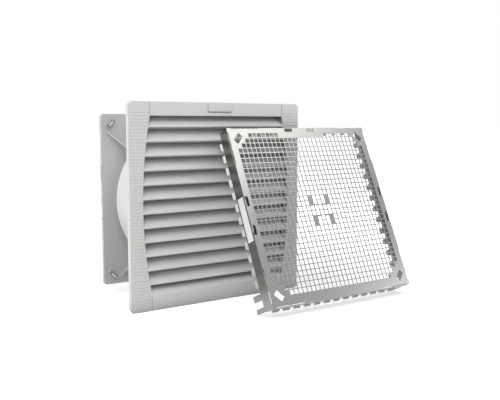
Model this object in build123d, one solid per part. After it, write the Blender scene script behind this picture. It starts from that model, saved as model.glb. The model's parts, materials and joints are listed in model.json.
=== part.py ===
from build123d import *
import math
import os

# Cabinet filter fan with its clip-over shield tray leaning against the louvre cover.
# X runs along the cabinet wall, +Y goes into the cabinet, +Z is up, in millimetres.
# The origin is the centre of the panel cut-out, in the plane that seats on the cabinet wall,
# so the fan's shaft is the Y axis.

# Louvre cover
cover_size = 320.0
cover_corner = 7.0
cover_front = -8.0
cover_back_clearance = 0.3
cover_skin = 2.0
cover_wall = 2.0
cover_edge_chamfer = 0.8
cover_relief_height = 5.0
cover_relief_front = -4.0
groove_width = 0.9
groove_depth = 0.6

# Louvre field, by the width of the bands round it: its sides bow outwards from the corners
top_band = 21.3
bottom_band = 24.9
corner_band = 35.7
middle_band = 22.5
field_wall = 1.3
field_back = 3.7

# Louvre blades, each rising backwards from its front lip
blade_count = 12
top_lip_drop = 17.3
bottom_lip_rise = 15.6
lip_height = 2.4
blade_rise = 18.4
blade_sag = 1.6
blade_thickness = 2.6
blade_back = 3.4
sill_rise = 15.0
sill_lip = 0.2

# Latch tab in the top band
tab_half_width = 21.6
tab_height = 14.5
tab_proud = 0.7
tab_thickness = 2.2
tab_lip_height = 1.6
tab_lip_proud = 0.9
tab_gap = 0.4
tab_swing_room = 1.1
tab_top_back = -2.3
latch_pin_y = -5.0
latch_pin_drop = 11.8
latch_pin_radius = 1.0
latch_lug_half = 1.45
latch_lug_inner_x = 12.0
latch_lug_outer_x = 20.0
latch_ear_width = 2.4
latch_arm_half_width = 5.0
latch_arm_thickness = 1.6
latch_arm_sunk = 1.1
latch_arm_back = -0.5
latch_nose_length = 1.0
latch_nose_drop = 1.0
latch_slot_room = 0.5
latch_spring_half_length = 4.0
latch_spring_radius = 1.5
running_clearance = 0.05
root_overlap = 0.5

# Cover hinge along the bottom edge
hinge_y = -4.2
hinge_rise = 3.8
hinge_inset = 48.0
hinge_pin_radius = 0.8
knuckle_radius = 1.5
cover_knuckle_width = 8.0
frame_knuckle_width = 4.0
knuckle_gap = 0.4
knuckle_web_back = -1.9
knuckle_web_rise = 1.5

# Mounting frame: flange on the cabinet wall, collar through the cut-out
flange_room = 4.5
flange_corner = 2.5
flange_thickness = 3.0
flange_overlap = 11.0
collar_corner = 4.0
collar_wall = 2.0
collar_depth = 24.0
collar_floor = 2.0
opening_inset = 7.5
mat_bar_width = 2.2
mat_bar_count = 4

# Soft parts
soft_clearance = 0.3
gasket_inset = 2.0
gasket_width = 5.0
gasket_groove_depth = 1.5
gasket_proud = 0.8
mat_front = 4.3

# Spring clips that grip the cabinet wall
panel_clip_offset = 84.0
panel_clip_width = 16.0
panel_clip_sheet = 0.8
panel_clip_length = 20.0
panel_clip_bend = 12.0
panel_clip_peak = 7.2
panel_clip_peak_out = 3.6
panel_clip_end = 2.4
panel_clip_end_out = 1.1

# Air duct: drum with a sloping shoulder and a neck, with ears for its screws
drum_inset = 14.8
drum_back = 112.0
drum_shoulder = 6.0
duct_wall = 2.2
neck_inset = 15.7
ear_width = 10.0
ear_thickness = 2.5
front_ear_reach = 9.0
back_ear_reach = 12.0

# Rear plate
plate_corner = 6.0
plate_front = 130.0
plate_thickness = 2.5
plate_rim_depth = 6.5
plate_rim_wall = 2.2
gusset_start_out = 31.5
gusset_angle = 139.6
gusset_thickness = 2.6
gusset_start_height = 0.8
gusset_end_height = 18.0
gusset_neck_gap = 7.8
side_lug_places = (45.0, 2.0, -30.0)
side_lug_lengths = (26.0, 5.0, 6.0)
side_lug_proud = 1.1
side_lug_margin = 1.5

# Corner clips on the plate, which take the shield's corner slots when the tray is fitted
clip_inset = 16.0
clip_spool_radius = 2.5
clip_spool_length = 10.6
clip_cheek_side = 6.4
clip_cheek_thickness = 1.5
clip_height = 3.9
clip_foot_length = 8.4
clip_foot_width = 4.2

# Hexagon screws
screw_clearance = 0.05
screw_head_height = 1.8
duct_screw_place = 4.5
duct_screw_head = 2.8
duct_screw_shank = 1.5
support_screw_place = 6.0
support_screw_head = 3.6
support_screw_shank = 1.8

# Motor support, guard and motor, all about the shaft
support_front = 141.0
support_thickness = 2.5
support_disc_radius = 47.0
support_arm_width = 11.0
support_foot_size = 12.0
guard_ring_count = 4
guard_ring_sides = 24
guard_ring_width = 2.2
guard_ring_depth = 2.2
stator_flange_radius = 41.0
stator_flange_sides = 8
stator_flange_thickness = 3.5
stator_tube_radius = 12.5
bearing_radius = 9.5
bearing_width = 6.0
front_bearing_front = 97.0
rear_bearing_front = 127.0
tooth_count = 12
core_radius = 36.0
core_yoke_radius = 21.0
core_front = 104.0
core_length = 20.0
tooth_width = 6.0
coil_inner = 25.5
coil_outer = 33.5
coil_thickness = 2.4
coil_overhang = 4.0
rotor_gap = 0.8
magnet_count = 10
magnet_half_width = 11.0
magnet_overhang = 2.0
can_radius = 46.0
can_wall = 2.5
can_front = 84.0
can_back = 134.5
shaft_radius = 3.0
shaft_back = 136.0
shaft_clip_size = 9.0
shaft_clip_gap = 0.3
shaft_clip_thickness = 1.0

# Impeller: curved sheet vanes on the rotor can
vane_count = 5
vane_tip_clearance = 2.2
vane_middle = 109.0
vane_root_chord = 46.0
vane_tip_chord = 66.0
vane_tip_sweep = 8.0
vane_angle = 28.0
vane_sheet = 2.0
vane_camber = 6.0

# Terminal block on the plate's rear face
terminal_inset = 24.5
terminal_width = 34.0
terminal_height = 24.0
terminal_depth = 17.0
terminal_edge = 1.2
terminal_pitch = 10.0
terminal_poles = 3
terminal_mouth_width = 27.0
terminal_mouth_front = 4.5
terminal_mouth_height = 6.0
terminal_mouth_depth = 9.0
terminal_well = 6.0
terminal_screw_radius = 2.8
terminal_screw_length = 3.0
terminal_screw_sunk = 2.0

# Shield tray: a punched sheet face with four flanges folded back
tray_room = 2.0
tray_sheet = 0.8
tray_flange = 21.0
tray_lean = 25.1
tray_x = 137.3
tray_contact_gap = 0.3
foot_depth = 42.0
foot_spans = ((0.0, 8.0), (18.0, 28.0))
fold_slot_spans = ((8.0, 33.5), (36.0, 61.5))
fold_slot_reach = 1.6
notch_offset = 23.0
notch_width = 16.0
notch_reach = 7.0
tongue_depth = 6.0
tongue_margin = 0.5
corner_slot_inset = 17.6
corner_slot_length = 16.8
corner_slot_width = 9.4

# Punched field of the tray's face: square holes in stepped corners, with two pairs of bars
hole_pitch = 8.54
hole_web = 1.2
hole_margin = 12.0
field_rise = 3.5
corner_steps = 3
top_gap_columns = 5
bar_row_offsets = ((-2, -1), (2, 3))
bar_column = 2
thick_web = 2.8

# Contact fingers along the flanges
finger_pitch = 20.3
finger_width = 12.5
finger_sheet = 0.4
finger_corner_room = 12.0
finger_base = 14.0
finger_bend = 21.6
finger_peak = 26.8
finger_peak_proud = 2.2
finger_end = 32.0
finger_end_height = 0.4

# Blank label on the left flange
label_front = 3.6
label_back = 18.0
label_drop = 3.5
label_height = 70.0
label_thickness = 0.2

# Worked out from the sizes above
cover_half = cover_size / 2
cover_back = -cover_back_clearance
skin_back = cover_front + cover_skin
field_top = cover_half - top_band
field_bottom = bottom_band - cover_half
field_level = (field_top + field_bottom) / 2
flange_half = cover_half - cover_wall - flange_room
collar_half = flange_half - flange_overlap
gasket_half = flange_half - gasket_inset
floor_front = collar_depth - collar_floor
mat_half = collar_half - collar_wall - soft_clearance
mat_back = floor_front - soft_clearance
latch_pin_z = cover_half - latch_pin_drop
latch_arm_top = flange_half - latch_arm_sunk
latch_arm_bottom = latch_arm_top - latch_arm_thickness
hinge_z = hinge_rise - cover_half
hinge_x = cover_half - hinge_inset
drum_radius = collar_half - drum_inset
drum_inner = drum_radius - duct_wall
neck_radius = drum_radius - neck_inset
neck_inner = neck_radius - duct_wall
opening_radius = drum_inner - opening_inset
plate_half = collar_half
plate_seat = plate_front + plate_thickness
support_back = support_front + support_thickness
can_inner = can_radius - can_wall
impeller_radius = neck_inner - vane_tip_clearance
tray_half = plate_half + tray_room
tray_size = 2 * tray_half
side_columns = int((tray_half - hole_margin) / hole_pitch - 0.5)
last_row = 2 * side_columns
bar_rows = [tuple(side_columns + offset for offset in pair) for pair in bar_row_offsets]
last_finger = int((tray_half - finger_width / 2 - finger_corner_room) / finger_pitch)


def slab(outline, front, back):
    """An outline drawn in X and Z, as a solid from Y = front to Y = back."""
    return extrude(Plane.XZ.offset(-back) * outline, back - front)


def block(x0, x1, y0, y1, z0, z1):
    """A box between two corners."""
    return Pos((x0 + x1) / 2, (y0 + y1) / 2, (z0 + z1) / 2) * Box(x1 - x0, y1 - y0, z1 - z0)


def mirrored(x0, x1, *others):
    """A block between x0 and x1, and its mirror image across X = 0."""
    return [block(x0, x1, *others), block(-x1, -x0, *others)]


def rounded_square(half, corner):
    return RectangleRounded(2 * half, 2 * half, corner)


def square(half):
    return Rectangle(2 * half, 2 * half)


def tube(outer, inner, front, back):
    """A ring about the shaft from Y = front to Y = back."""
    return slab(Circle(outer) - Circle(inner), front, back)


def disc(radius, front, back):
    return slab(Circle(radius), front, back)


def hexagon(radius, front, back):
    """A six-sided bar along Y, by the radius of its corners."""
    return slab(RegularPolygon(radius, 6), front, back)


def rod_x(x0, x1, y, z, radius):
    """A round rod along X."""
    return Pos((x0 + x1) / 2, y, z) * Rot(0, 90, 0) * Cylinder(radius, x1 - x0)


def along_x(points, x0, x1):
    """A profile of (Y, Z) points as a bar from x0 to x1."""
    return extrude(Plane.YZ.offset(x0) * make_face(Polyline(*points, close=True)), x1 - x0)


def around(solid, count, start=0.0):
    """Copies of a solid evenly round the shaft."""
    return [Rot(0, start + 360 * turn / count, 0) * solid for turn in range(count)]


def diagonals(solid):
    """Four copies on the diagonals of the square."""
    return around(solid, 4, 45)


def join(solids):
    whole = solids[0]
    for solid in solids[1:]:
        whole = whole + solid
    return whole


def bent_sheet(points, thickness):
    """The outline of a folded sheet: a line of points, and the same line moved by its thickness."""
    ways = [(Vector(*b) - Vector(*a)).normalized() for a, b in zip(points, points[1:])]
    moved = []
    for number, point in enumerate(points):
        before = ways[max(number - 1, 0)]
        after = ways[min(number, len(ways) - 1)]
        half_way = (before + after).normalized()
        reach = thickness / before.dot(half_way)
        moved.append((point[0] - half_way.Y * reach, point[1] + half_way.X * reach))
    return make_face(Polyline(*points, *reversed(moved), close=True))


def hexagon_screw(place, under_head, tip, head_radius, shank_radius):
    """A screw along Y at X = place, with its head behind the plane of its seat."""
    head = hexagon(head_radius, under_head, under_head + screw_head_height)
    return Pos(place, 0, 0) * (head + hexagon(shank_radius, tip, under_head))


def screw_holes(place, shank_radius, front, back):
    return diagonals(Pos(place, 0, 0) * hexagon(shank_radius + screw_clearance, front, back))


def field_outline(grown=0.0):
    """The louvre field's outline: straight top and bottom, bowed sides."""
    corner = cover_half - corner_band + grown
    middle = cover_half - middle_band + grown
    top = field_top + grown
    bottom = field_bottom - grown
    left = ThreePointArc((-corner, bottom), (-middle, field_level), (-corner, top))
    right = ThreePointArc((corner, top), (middle, field_level), (corner, bottom))
    edges = left + Line((-corner, top), (corner, top)) + right + Line((corner, bottom), (-corner, bottom))
    return make_face(edges)


def blade_profile(lip):
    """One blade in Y and Z: a front lip, a hollowed upper face and a parallel under face."""
    front_top = (cover_front, lip + lip_height)
    back_top = (blade_back, lip + blade_rise)
    back_low = (blade_back, lip + blade_rise - blade_thickness)
    front_low = (cover_front + blade_thickness, lip)
    middle_y = (cover_front + blade_back) / 2
    middle_z = lip + blade_rise / 2 - blade_sag
    top_face = ThreePointArc(front_top, (middle_y, middle_z + lip_height / 2), back_top)
    under_middle = (middle_y + blade_thickness / 2, middle_z - blade_thickness / 2)
    under_face = ThreePointArc(back_low, under_middle, front_low)
    front = Polyline(front_low, (cover_front, lip), front_top)
    return make_face(top_face + Line(back_top, back_low) + under_face + front)


def louvre_blades():
    """The blades and the sill, cut to the bowed field."""
    highest = field_top - top_lip_drop
    lowest = field_bottom + bottom_lip_rise
    pitch = (highest - lowest) / (blade_count - 1)
    bars = []
    for number in range(blade_count):
        profile = blade_profile(highest - number * pitch)
        bars.append(extrude(Plane.YZ.offset(-cover_half) * profile, cover_size))
    sill = along_x(
        [
            (cover_front, field_bottom - field_wall),
            (cover_front, field_bottom + sill_lip),
            (blade_back, field_bottom + sill_rise),
            (blade_back, field_bottom + sill_rise - blade_thickness),
            (skin_back, field_bottom - field_wall),
        ],
        -cover_half,
        cover_half,
    )
    room = slab(field_outline(field_wall / 2), cover_front, field_back)
    return [bar & room for bar in bars + [sill]]


def hinge_barrel(width):
    """An eight-sided barrel about the hinge's axis, its flats as far out as a round one's surface."""
    corner = knuckle_radius / math.cos(math.pi / 8)
    outline = Rot(0, 0, 22.5) * RegularPolygon(corner, 8)
    return Pos(0, hinge_y, hinge_z) * extrude(Plane.YZ * outline, width / 2, both=True)


def cover_knuckles():
    """The cover's half of its hinge: a knuckle with a bore, webbed to the corner."""
    half = cover_knuckle_width / 2
    web_low = cover_wall - cover_half - root_overlap
    web = block(-half, half, skin_back - root_overlap, hinge_y, web_low, hinge_z)
    bore = rod_x(-half - 1, half + 1, hinge_y, hinge_z, hinge_pin_radius + running_clearance)
    knuckle = hinge_barrel(cover_knuckle_width) + web - bore
    return [Pos(side * hinge_x, 0, 0) * knuckle for side in (-1, 1)]


def louvre_cover():
    shell = slab(rounded_square(cover_half, cover_corner), cover_front, cover_back)
    shell = chamfer(shell.faces().sort_by(Axis.Y)[0].edges(), cover_edge_chamfer)
    cavity = chamfer(square(cover_half - cover_wall).vertices(), cover_corner - cover_wall)
    shell -= slab(cavity, skin_back, cover_back + 1)
    shell -= slab(field_outline(), cover_front - 1, cover_back)
    shell += slab(field_outline(field_wall) - field_outline(), cover_front + cover_skin / 2, field_back)
    shell = join([shell] + louvre_blades())
    # The bottom and the lower corners are cut back so that the cover can swing about its hinge.
    reach = cover_half + 1
    relief_top = cover_relief_height - cover_half
    shell -= block(-reach, reach, cover_relief_front, cover_back + 1, -reach, relief_top)
    # Room for the latch tab, from the top edge down.
    tab_room = tab_half_width + tab_gap
    room_bottom = cover_half - tab_height - tab_swing_room
    shell -= block(-tab_room, tab_room, cover_front - 1, cover_back + 1, room_bottom, reach)
    # Ears either side of the tab, slotted from behind for its pin.
    half = latch_lug_half
    ear_spans = (skin_back - root_overlap, latch_pin_y + half, latch_pin_z - half, latch_pin_z + half)
    for ear in mirrored(tab_room, tab_room + latch_ear_width, *ear_spans):
        shell += ear
    slot_reach = tab_room + latch_ear_width
    pin_front = latch_pin_y - latch_pin_radius
    pin_low = latch_pin_z - latch_pin_radius
    pin_high = latch_pin_z + latch_pin_radius
    shell -= block(-slot_reach, slot_reach, pin_front, cover_back, pin_low, pin_high)
    shell = join([shell] + cover_knuckles())
    # Thin grooves that carry the field's corners up and down to the cover's edges.
    for side in (-1, 1):
        x = side * (cover_half - corner_band)
        edges = (x - groove_width / 2, x + groove_width / 2, cover_front - 1, cover_front + groove_depth)
        shell -= block(*edges, field_top + field_wall, reach)
        shell -= block(*edges, -reach, field_bottom - field_wall)
    return shell


def latch_tab():
    front = cover_front - tab_proud
    back = front + tab_thickness
    width = tab_half_width
    bottom = cover_half - tab_height
    tab = block(-width, width, front, back, bottom, cover_half)
    tab += block(-width, width, front - tab_lip_proud, back, bottom, bottom + tab_lip_height)
    tab += block(-width, width, front, tab_top_back, cover_half - tab_thickness, cover_half)
    root = back - root_overlap
    lug_spans = (root, latch_pin_y + latch_lug_half, latch_pin_z - latch_lug_half, latch_pin_z + latch_lug_half)
    for lug in mirrored(latch_lug_inner_x, latch_lug_outer_x, *lug_spans):
        tab += lug
    arm = latch_arm_half_width
    tab += block(-arm, arm, root, latch_arm_back, latch_arm_bottom, latch_arm_top)
    nose_front = latch_arm_back - latch_nose_length
    tab += block(-arm, arm, nose_front, latch_arm_back, latch_arm_bottom - latch_nose_drop, latch_arm_top)
    reach = latch_lug_outer_x + 1
    return tab - rod_x(-reach, reach, latch_pin_y, latch_pin_z, latch_pin_radius + running_clearance)


def latch_pin():
    reach = tab_half_width + tab_gap + latch_ear_width
    return rod_x(-reach, reach, latch_pin_y, latch_pin_z, latch_pin_radius)


def latch_spring():
    """A torsion coil round the pin, between the tab's lugs, as a sleeve of its outer size."""
    half = latch_spring_half_length
    coil = extrude(Plane.YZ * RegularPolygon(latch_spring_radius, 8), half, both=True)
    coil = Pos(0, latch_pin_y, latch_pin_z) * coil
    return coil - rod_x(-half - 1, half + 1, latch_pin_y, latch_pin_z, latch_pin_radius + running_clearance)


def mat_bars():
    """Crossed bars over the opening, which hold the mat against the air's pull."""
    bars = []
    room = disc(opening_radius + 1, floor_front, collar_depth)
    pitch = 2 * opening_radius / (mat_bar_count + 1)
    for number in range(mat_bar_count):
        place = (number - (mat_bar_count - 1) / 2) * pitch
        low = place - mat_bar_width / 2
        high = place + mat_bar_width / 2
        upright = block(low, high, floor_front, collar_depth, -collar_half, collar_half) & room
        bars += [upright, Rot(0, 90, 0) * upright]
    return bars


def frame_knuckles():
    """The frame's half of the hinge: lugs either side of the cover's knuckle, slotted for the pin."""
    half = frame_knuckle_width / 2
    web_top = knuckle_web_rise - flange_half
    web = block(-half, half, hinge_y, knuckle_web_back, hinge_z, web_top)
    slot_front = hinge_y - knuckle_radius - 1
    slot_back = hinge_y + hinge_pin_radius
    slot_low = hinge_z - hinge_pin_radius
    slot_high = hinge_z + hinge_pin_radius
    slot = block(-half - 1, half + 1, slot_front, slot_back, slot_low, slot_high)
    lug = hinge_barrel(frame_knuckle_width) + web - slot
    beside = cover_knuckle_width / 2 + knuckle_gap + half
    return [
        Pos(side * hinge_x + offset, 0, 0) * lug for side in (-1, 1) for offset in (-beside, beside)
    ]


def mounting_frame():
    inner = collar_half - collar_wall
    frame = slab(chamfer(square(flange_half).vertices(), flange_corner), -flange_thickness, 0)
    frame += slab(rounded_square(collar_half, collar_corner), -flange_thickness, collar_depth)
    frame -= slab(square(inner), -flange_thickness - 1, floor_front)
    frame -= disc(opening_radius, floor_front - 1, collar_depth + 1)
    frame = join([frame] + mat_bars())
    groove_outer = square(gasket_half + soft_clearance)
    groove_inner = square(gasket_half - gasket_width - soft_clearance)
    frame -= slab(groove_outer - groove_inner, -gasket_groove_depth, 1)
    # Slot for the latch arm, with a lip in front of the deeper pocket that holds its nose.
    slot = latch_arm_half_width + latch_slot_room
    lip_top = latch_arm_bottom - soft_clearance
    lip_back = latch_arm_back - latch_nose_length - latch_slot_room
    frame -= block(-slot, slot, -flange_thickness - 1, 1, lip_top, flange_half + 1)
    frame -= block(-slot, slot, lip_back, 1, lip_top - latch_nose_drop, latch_arm_top)
    frame = join([frame] + frame_knuckles())
    return frame - screw_holes(
        drum_radius + duct_screw_place, duct_screw_shank, floor_front - 1, collar_depth + 1
    )


def hinge_pins():
    half = cover_knuckle_width / 2 + knuckle_gap + frame_knuckle_width
    return [rod_x(x - half, x + half, hinge_y, hinge_z, hinge_pin_radius) for x in (-hinge_x, hinge_x)]


def panel_gasket():
    ring = slab(
        square(gasket_half) - square(gasket_half - gasket_width),
        soft_clearance - gasket_groove_depth,
        gasket_proud,
    )
    # The ring is open where the latch's nose reaches behind the flange.
    gap = latch_arm_half_width + latch_slot_room + latch_slot_room
    return ring - block(-gap, gap, -flange_thickness, gasket_proud + 1, 0, gasket_half + 1)


def filter_mat():
    return slab(square(mat_half), mat_front, mat_back)


def panel_clips():
    """Two sprung ratchet clips on each side of the collar."""
    line = [
        (0, panel_clip_length),
        (0, panel_clip_bend),
        (panel_clip_peak_out, panel_clip_peak),
        (panel_clip_end_out, panel_clip_end),
    ]
    clip = extrude(bent_sheet(line, panel_clip_sheet), panel_clip_width / 2, both=True)
    pair = [Pos(collar_half, 0, place) * clip for place in (-panel_clip_offset, panel_clip_offset)]
    return [copy for one in pair for copy in around(one, 4)]


def duct_ear(seat_radius, reach, front, back, hole_place, shank):
    """One ear beside the shaft, with its screw hole."""
    ear = block(seat_radius - duct_wall / 2, seat_radius + reach, front, back, -ear_width / 2, ear_width / 2)
    hole = hexagon(shank + screw_clearance, front - 1, back + 1)
    return ear - Pos(seat_radius + hole_place, 0, 0) * hole


def air_duct():
    slope_end = drum_back - duct_wall
    profile = Polyline(
        (drum_inner, collar_depth),
        (drum_radius, collar_depth),
        (drum_radius, drum_back - drum_shoulder),
        (neck_radius, drum_back),
        (neck_radius, plate_front),
        (neck_inner, plate_front),
        (neck_inner, slope_end),
        (drum_inner, slope_end - drum_shoulder),
        close=True,
    )
    duct = revolve(make_face(profile), Axis.Y)
    front_ear = duct_ear(
        drum_radius,
        front_ear_reach,
        collar_depth,
        collar_depth + ear_thickness,
        duct_screw_place,
        duct_screw_shank,
    )
    back_ear = duct_ear(
        neck_radius,
        back_ear_reach,
        plate_front - ear_thickness,
        plate_front,
        support_screw_place,
        support_screw_shank,
    )
    return join([duct] + diagonals(front_ear) + diagonals(back_ear))


def duct_screws():
    one = hexagon_screw(
        drum_radius + duct_screw_place,
        collar_depth + ear_thickness,
        floor_front,
        duct_screw_head,
        duct_screw_shank,
    )
    return diagonals(one)


def gussets():
    """Four tapering ribs that run in from near the plate's corners towards the duct's neck."""
    start = plate_half + gusset_start_out
    end = neck_radius + gusset_neck_gap
    outline = Polyline(
        (start, plate_seat),
        (start, plate_front - gusset_start_height),
        (end, plate_front - gusset_end_height),
        (end, plate_seat),
        close=True,
    )
    rib = extrude(make_face(outline), gusset_thickness / 2, both=True)
    return around(rib, 4, -gusset_angle)


def rear_plate():
    rear = plate_front + plate_rim_depth
    plate = slab(rounded_square(plate_half, plate_corner), plate_front, rear)
    inside = chamfer(square(plate_half - plate_rim_wall).vertices(), plate_corner - plate_rim_wall)
    plate -= slab(inside, plate_seat, rear + 1)
    plate = join([plate] + gussets())
    plate -= disc(neck_inner, plate_front - 1, rear + 1)
    for place, length in zip(side_lug_places, side_lug_lengths):
        lug_spans = (
            plate_front + side_lug_margin,
            rear - side_lug_margin,
            place - length / 2,
            place + length / 2,
        )
        for lug in mirrored(plate_half - plate_rim_wall / 2, plate_half + side_lug_proud, *lug_spans):
            plate += lug
    return plate - screw_holes(
        neck_radius + support_screw_place, support_screw_shank, plate_front - 1, plate_seat + 1
    )


def corner_clips():
    """An eight-sided spool between two square cheeks on a short foot, across each diagonal."""
    place = (plate_half - clip_inset) * math.sqrt(2)
    centre = plate_front - clip_height
    half = clip_spool_length / 2
    cheek = clip_cheek_side / 2
    spool = Pos(place, centre, 0) * extrude(RegularPolygon(clip_spool_radius, 8), half, both=True)
    for side in (-1, 1):
        ends = sorted((side * half, side * (half + clip_cheek_thickness)))
        spool += block(place - cheek, place + cheek, centre - cheek, centre + cheek, *ends)
    foot = clip_foot_width / 2
    foot_half = clip_foot_length / 2
    spool += block(place - foot, place + foot, centre, plate_front, -foot_half, foot_half)
    return diagonals(spool)


def motor_support():
    """A centre disc on four arms, each down to a foot on the rear plate."""
    foot_place = neck_radius + support_screw_place
    foot_half = support_foot_size / 2
    arm_half = support_arm_width / 2
    arm = block(0, foot_place, support_front, support_back, -arm_half, arm_half)
    foot = block(
        foot_place - foot_half, foot_place + foot_half, plate_seat, support_back, -foot_half, foot_half
    )
    hub = disc(support_disc_radius, support_front, support_back)
    support = join([hub] + diagonals(arm) + diagonals(foot))
    return support - screw_holes(foot_place, support_screw_shank, plate_seat - 1, support_back + 1)


def finger_guard():
    """Wire rings on the support's arms, each bent from short straights, evenly spaced outwards."""
    step = (neck_inner - support_disc_radius + guard_ring_width) / (guard_ring_count + 1)
    rings = []
    for number in range(guard_ring_count):
        outer = support_disc_radius + step * (number + 1)
        ring = RegularPolygon(outer, guard_ring_sides)
        ring -= RegularPolygon(outer - guard_ring_width, guard_ring_sides)
        rings.append(slab(ring, support_back, support_back + guard_ring_depth))
    return rings


def guard_screws():
    """Four screws, each through a support foot and the plate into an ear of the duct."""
    one = hexagon_screw(
        neck_radius + support_screw_place,
        support_back,
        plate_front - ear_thickness,
        support_screw_head,
        support_screw_shank,
    )
    return diagonals(one)


def stator_base():
    """An eight-sided foot on the support and the tube that carries the bearings and the core."""
    flange_front = support_front - stator_flange_thickness
    base = slab(RegularPolygon(stator_flange_radius, stator_flange_sides), flange_front, support_front)
    base += disc(stator_tube_radius, front_bearing_front, flange_front)
    return base - disc(bearing_radius, front_bearing_front - 1, support_front + 1)


def bearing(front):
    return tube(bearing_radius, shaft_radius + running_clearance, front, front + bearing_width)


def stator_core():
    """A yoke with one straight tooth for each coil."""
    half = tooth_width / 2
    end = math.sqrt(core_radius**2 - half**2)
    tooth = Pos(end / 2, 0) * Rectangle(end, tooth_width)
    outline = RegularPolygon(core_yoke_radius, tooth_count)
    for number in range(tooth_count):
        outline += Rot(0, 0, 360 * (number + 0.5) / tooth_count) * tooth
    return slab(outline - Circle(stator_tube_radius), core_front, core_front + core_length)


def stator_windings():
    """One rectangular coil round each tooth."""
    hole = tooth_width / 2
    side = hole + coil_thickness
    back = core_front + core_length
    coil = block(coil_inner, coil_outer, core_front - coil_overhang, back + coil_overhang, -side, side)
    coil -= block(coil_inner - 1, coil_outer + 1, core_front, back, -hole, hole)
    return around(coil, tooth_count, 180 / tooth_count)


def rotor_can():
    """A cup, open behind, with its front wall across the shaft."""
    cup = disc(can_radius, can_front, can_back)
    return cup - disc(can_inner, can_front + can_wall, can_back + 1)


def rotor_magnets():
    """Flat magnets along the can's inner wall."""
    outer = math.sqrt(can_inner**2 - magnet_half_width**2)
    front = core_front - magnet_overhang
    back = core_front + core_length + magnet_overhang
    magnet = block(
        core_radius + rotor_gap,
        outer - running_clearance,
        front,
        back,
        -magnet_half_width,
        magnet_half_width,
    )
    return around(magnet, magnet_count)


def rotor_shaft():
    return disc(shaft_radius, can_front + can_wall, shaft_back)


def shaft_clip():
    """A flat U-clip pushed over the shaft behind the rear bearing."""
    front = rear_bearing_front + bearing_width + shaft_clip_gap
    half = shaft_clip_size / 2
    clip = block(-half, half, front, front + shaft_clip_thickness, -half, half)
    slot = shaft_radius + running_clearance
    return clip - block(-slot, slot, front - 1, front + shaft_clip_thickness + 1, -slot, half + 1)


def vane():
    """A curved sheet in its own frame: X outwards, Z along the chord, bowed towards -Y."""
    chord = vane_tip_chord + vane_tip_sweep
    start = (-chord / 2, 0)
    end = (chord / 2, 0)
    outer = ThreePointArc(start, (0, vane_camber + vane_sheet), end)
    inner = ThreePointArc(end, (0, vane_camber), start)
    curved = make_face(outer + inner)
    sheet = extrude(Plane((0, 0, 0), x_dir=(0, 0, 1), z_dir=(1, 0, 0)) * curved, impeller_radius)
    root_half = vane_root_chord / 2
    tip_half = vane_tip_chord / 2
    planform = Polyline(
        (0, -root_half),
        (impeller_radius, vane_tip_sweep / 2 - tip_half),
        (impeller_radius, vane_tip_sweep / 2 + tip_half),
        (0, root_half),
        close=True,
    )
    return sheet & slab(make_face(planform), -vane_camber - vane_sheet - 1, 1)


def impeller_blades():
    placed = Pos(0, vane_middle, 0) * Rot(-vane_angle, 0, 0) * vane()
    placed &= tube(impeller_radius, can_radius, can_front, can_back)
    return around(placed, vane_count)


def terminal_place():
    corner = terminal_inset - plate_half
    return corner, plate_seat, corner


def terminal_screw_floor():
    return plate_seat + terminal_depth - terminal_screw_sunk - terminal_screw_length


def pole_places():
    return [(number - (terminal_poles - 1) / 2) * terminal_pitch for number in range(terminal_poles)]


def terminal_housing():
    x, front, z = terminal_place()
    rear = front + terminal_depth
    half_width = terminal_width / 2
    bottom = z - terminal_height / 2
    body = block(x - half_width, x + half_width, front, rear, bottom, z + terminal_height / 2)
    body = chamfer(body.faces().sort_by(Axis.Y)[-1].edges(), terminal_edge)
    mouth_front = front + terminal_mouth_front
    mouth_half = terminal_mouth_width / 2
    body -= block(
        x - mouth_half,
        x + mouth_half,
        mouth_front,
        mouth_front + terminal_mouth_height,
        bottom - 1,
        bottom + terminal_mouth_depth,
    )
    well = terminal_well / 2
    for offset in pole_places():
        middle = x + offset
        body -= block(middle - well, middle + well, terminal_screw_floor(), rear + 1, z - well, z + well)
    return body


def terminal_screws():
    x, _, z = terminal_place()
    floor = terminal_screw_floor()
    screw = hexagon(terminal_screw_radius, floor, floor + terminal_screw_length)
    return [Pos(x + offset, 0, z) * screw for offset in pole_places()]


def on_tray(solid):
    """Takes a solid from the tray's own frame, where its face is the plane Y = 0 and its bottom
    fold the X axis, to where it leans: on its feet, with its top fingers against the cover."""
    lean = math.radians(tray_lean)
    z = foot_depth * math.sin(lean) - cover_half
    reach = finger_end * math.cos(lean) + tray_size * math.sin(lean)
    y = cover_front - tray_contact_gap - reach
    return Pos(tray_x, y, z) * Rot(-tray_lean, 0, 0) * solid


def turned_side(solid, quarter_turns):
    """Takes a feature of the tray's bottom side round to another side, about the face's centre."""
    return Pos(0, 0, tray_half) * Rot(0, 90 * quarter_turns, 0) * Pos(0, 0, -tray_half) * solid


def row_height(row):
    """Height of a hole row's centre, counted from the top."""
    return tray_half + field_rise + (last_row / 2 - row) * hole_pitch


def cells(first_column, last_column, first_row, final_row, trim=0.0):
    """A rectangle over whole hole cells, less a trim in each direction."""
    width = (last_column - first_column + 1) * hole_pitch - trim
    height = (final_row - first_row + 1) * hole_pitch - trim
    x = (first_column + last_column) / 2 * hole_pitch
    z = (row_height(first_row) + row_height(final_row)) / 2
    return Pos(x, z) * Rectangle(width, height)


def field_steps():
    """The punched field's outline, stepped at its corners."""
    steps = []
    for cut in range(corner_steps + 1):
        column = side_columns - cut
        row = corner_steps - cut
        steps.append(cells(-column, column, row, last_row - row))
    return join(steps)


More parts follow.
